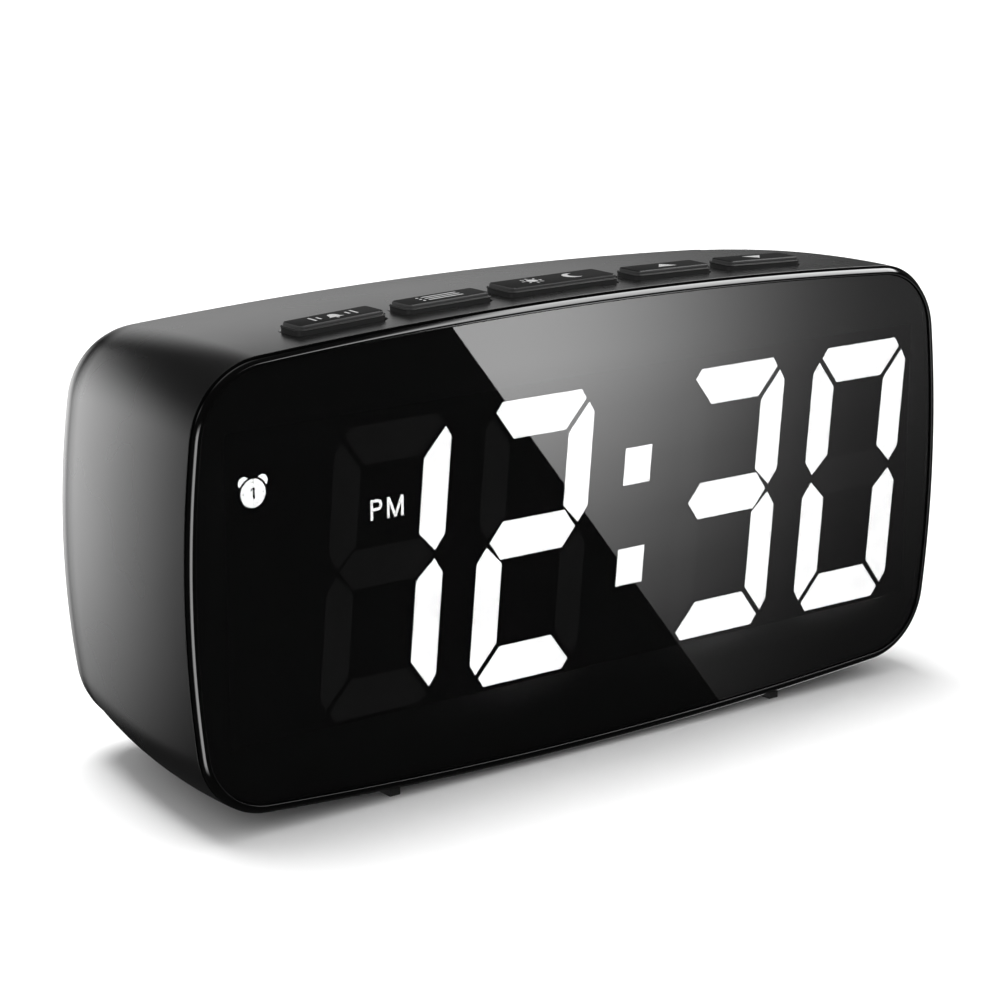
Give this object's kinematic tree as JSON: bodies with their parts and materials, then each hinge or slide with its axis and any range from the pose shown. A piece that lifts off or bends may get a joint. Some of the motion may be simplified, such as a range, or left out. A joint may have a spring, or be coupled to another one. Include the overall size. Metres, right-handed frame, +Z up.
{
  "type": "alarm clock",
  "caption": "Bedside alarm clock: wide black case with a rounded front, smoked lens over lit segment digits, top buttons, battery bay and power inlet.",
  "frame": {"origin": "on the surface the clock stands on, below the middle of its width and depth", "axes": "+X to the right seen from the front, +Y from the front to the back, +Z up"},
  "size_m": [0.165, 0.056, 0.0827],
  "materials": {
    "shell": "satin moulded ABS",
    "bezel": "polished",
    "lens": "smoked acrylic, polished",
    "tape": "foam adhesive tape",
    "film": "thin diffusing film",
    "reflector": "matt black",
    "segment_lit": "lit white, glowing",
    "segment_unlit": "unlit resin",
    "led": "clear resin over phosphor",
    "board": "green solder mask",
    "chip": "moulded epoxy",
    "metal": "plated steel",
    "capacitor": "sleeved can",
    "header": "natural nylon",
    "switch": "moulded",
    "plunger": "moulded",
    "key": "fine matt",
    "ribbon": "flat cable film",
    "wire": "PVC insulation",
    "wire_black": "PVC insulation",
    "socket": "moulded",
    "foot": "matt rubber"
  },
  "bodies": {
    "case": {"rear_housing": "shell", "front_bezel": "bezel", "display_lens": "lens", "lens_tape": "tape", "diffuser_film": "film", "display_reflector": "reflector", "hour_tens_lit": "segment_lit", "hour_tens_unlit": "segment_unlit", "hour_units_lit": "segment_lit", "hour_units_unlit": "segment_unlit", "minute_tens_lit": "segment_lit", "minute_tens_unlit": "segment_unlit", "minute_units_lit": "segment_lit", "minute_units_unlit": "segment_unlit", "colon_dots": "segment_lit", "pm_indicator": "segment_lit", "alarm_indicator": "segment_lit", "led_chips": "led", "display_board": "board", "driver_chip": "chip", "clock_crystal": "metal", "capacitors": "capacitor", "lead_headers": "header", "key_board": "board", "tact_switches": "switch", "key_board_screws": "metal", "key_ribbon": "ribbon", "buzzer": "chip", "buzzer_leads": "wire", "power_socket": "socket", "power_leads": "wire_black", "battery_springs": "metal", "battery_plates": "metal", "battery_leads": "wire", "case_screws": "metal", "left_foot": "foot", "right_foot": "foot"},
    "battery_door": {"battery_door": "shell"},
    "alarm_key": {"alarm_button": "key", "alarm_plunger": "plunger"},
    "mode_key": {"mode_button": "key", "mode_plunger": "plunger"},
    "snooze_key": {"snooze_button": "key", "snooze_plunger": "plunger"},
    "up_key": {"up_button": "key", "up_plunger": "plunger"},
    "down_key": {"down_button": "key", "down_plunger": "plunger"}
  },
  "joints": [
    {"name": "alarm_press", "type": "slide", "parent": "case", "child": "alarm_key", "axis": [0, 0, -1], "range_m": [0, 0.0005], "stiffness_N_per_m": 1500, "springref_m": -0.0005},
    {"name": "mode_press", "type": "slide", "parent": "case", "child": "mode_key", "axis": [0, 0, -1], "range_m": [0, 0.0005], "stiffness_N_per_m": 1500, "springref_m": -0.0005},
    {"name": "snooze_press", "type": "slide", "parent": "case", "child": "snooze_key", "axis": [0, 0, -1], "range_m": [0, 0.0005], "stiffness_N_per_m": 1500, "springref_m": -0.0005},
    {"name": "up_press", "type": "slide", "parent": "case", "child": "up_key", "axis": [0, 0, -1], "range_m": [0, 0.0005], "stiffness_N_per_m": 1500, "springref_m": -0.0005},
    {"name": "down_press", "type": "slide", "parent": "case", "child": "down_key", "axis": [0, 0, -1], "range_m": [0, 0.0005], "stiffness_N_per_m": 1500, "springref_m": -0.0005},
    {"name": "door_swing", "type": "hinge", "parent": "case", "child": "battery_door", "pos_m": [0, 0.0279, 0.02085], "axis": [-1, 0, 0], "range_deg": [0, 70]}
  ]
}
